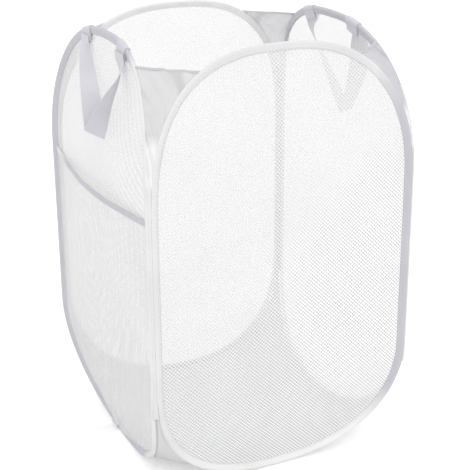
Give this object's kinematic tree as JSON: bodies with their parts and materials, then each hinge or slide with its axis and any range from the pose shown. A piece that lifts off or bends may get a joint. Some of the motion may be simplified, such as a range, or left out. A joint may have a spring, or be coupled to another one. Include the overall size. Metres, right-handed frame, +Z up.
{
  "type": "pop up laundry hamper",
  "caption": "Pop up laundry hamper: square, open topped, with sprung mesh walls, a cloth base, a side pocket, hanging webbing handles and a tie strap.",
  "frame": {"origin": "on the floor, at the middle of the underside of the base", "axes": "+Z up; the front wall faces -Y, the right wall +X, the back wall +Y, and the left wall, with the pocket and the tie strap, -X"},
  "size_m": [0.4655, 0.3792, 0.5891],
  "materials": {
    "white_mesh": "fine open polyester mesh",
    "grey_binding": "woven binding tape",
    "grey_cloth": "thin plain-weave polyester",
    "grey_webbing": "soft ribbed webbing",
    "white_tape": "woven tape",
    "spring_steel": "flat spring wire"
  },
  "bodies": {
    "front_wall": {"front_wall_mesh": "white_mesh", "front_wall_hoop": "spring_steel", "front_wall_hoop_ferrule": "spring_steel", "front_wall_binding": "grey_binding", "front_left_seam_tape": "grey_binding", "front_left_gusset": "grey_cloth", "front_left_gusset_hem": "grey_binding", "front_right_seam_tape": "grey_binding", "front_right_gusset": "grey_cloth", "front_right_gusset_hem": "grey_binding", "base_panel": "grey_cloth"},
    "right_wall": {"right_wall_mesh": "white_mesh", "right_wall_hoop": "spring_steel", "right_wall_hoop_ferrule": "spring_steel", "right_wall_binding": "grey_binding", "back_right_seam_tape": "grey_binding", "back_right_gusset": "grey_cloth", "back_right_gusset_hem": "grey_binding", "right_handle_rear_wrap": "grey_webbing", "right_handle_front_wrap": "grey_webbing"},
    "back_wall": {"back_wall_mesh": "white_mesh", "back_wall_hoop": "spring_steel", "back_wall_hoop_ferrule": "spring_steel", "back_wall_binding": "grey_binding"},
    "left_wall": {"left_wall_mesh": "white_mesh", "left_wall_hoop": "spring_steel", "left_wall_hoop_ferrule": "spring_steel", "left_wall_binding": "grey_binding", "pocket_mesh": "white_mesh", "pocket_mouth_binding": "grey_binding", "left_handle_rear_wrap": "grey_webbing", "left_handle_front_wrap": "grey_webbing", "tie_strap_tab": "grey_webbing"},
    "back_left_corner": {"back_left_seam_tape": "grey_binding", "back_left_gusset": "grey_cloth", "back_left_gusset_hem": "grey_binding"},
    "left_handle": {"left_handle_strap": "grey_webbing"},
    "right_handle": {"right_handle_strap": "grey_webbing"},
    "tie_strap": {"tie_strap": "white_tape"}
  },
  "joints": [
    {"name": "front_left_seam", "type": "hinge", "parent": "front_wall", "child": "left_wall", "pos_m": [-0.1837, -0.1837, 0.3], "axis": [0, 0, 1], "range_deg": [-52, 52], "deforming": ["front_left_seam_tape", "front_left_gusset", "front_left_gusset_hem", "front_right_seam_tape", "front_right_gusset", "front_right_gusset_hem", "back_right_seam_tape", "back_right_gusset", "back_right_gusset_hem", "back_left_seam_tape", "back_left_gusset", "back_left_gusset_hem", "base_panel"]},
    {"name": "front_right_seam", "type": "hinge", "parent": "front_wall", "child": "right_wall", "pos_m": [0.1837, -0.1837, 0.3], "axis": [0, 0, 1], "range_deg": [-52, 52], "deforming": ["front_left_seam_tape", "front_left_gusset", "front_left_gusset_hem", "front_right_seam_tape", "front_right_gusset", "front_right_gusset_hem", "back_right_seam_tape", "back_right_gusset", "back_right_gusset_hem", "back_left_seam_tape", "back_left_gusset", "back_left_gusset_hem", "base_panel"]},
    {"name": "back_right_seam", "type": "hinge", "parent": "right_wall", "child": "back_wall", "pos_m": [0.1837, 0.1837, 0.3], "axis": [0, 0, 1], "range_deg": [-52, 52], "deforming": ["front_left_seam_tape", "front_left_gusset", "front_left_gusset_hem", "front_right_seam_tape", "front_right_gusset", "front_right_gusset_hem", "back_right_seam_tape", "back_right_gusset", "back_right_gusset_hem", "back_left_seam_tape", "back_left_gusset", "back_left_gusset_hem", "base_panel"]},
    {"name": "back_left_seam", "type": "hinge", "parent": "left_wall", "child": "back_left_corner", "pos_m": [-0.1837, 0.1837, 0.3], "axis": [0, 0, 1], "range_deg": [-52, 52], "deforming": ["front_left_seam_tape", "front_left_gusset", "front_left_gusset_hem", "front_right_seam_tape", "front_right_gusset", "front_right_gusset_hem", "back_right_seam_tape", "back_right_gusset", "back_right_gusset_hem", "back_left_seam_tape", "back_left_gusset", "back_left_gusset_hem", "base_panel"]},
    {"name": "left_handle_swing", "type": "hinge", "parent": "left_wall", "child": "left_handle", "pos_m": [-0.1714, 0, 0.57425], "axis": [0, 1, 0], "range_deg": [0, 165]},
    {"name": "right_handle_swing", "type": "hinge", "parent": "right_wall", "child": "right_handle", "pos_m": [0.1714, 0, 0.57425], "axis": [0, -1, 0], "range_deg": [0, 165]},
    {"name": "tie_strap_lift", "type": "hinge", "parent": "left_wall", "child": "tie_strap", "pos_m": [-0.1669, 0.031, 0.0006], "axis": [0, 1, 0], "range_deg": [0, 65]}
  ],
  "couplings": [
    {"joint": "front_right_seam", "follows": "front_left_seam", "ratio": 1},
    {"joint": "back_right_seam", "follows": "front_left_seam", "ratio": -1},
    {"joint": "back_left_seam", "follows": "front_left_seam", "ratio": -1}
  ]
}
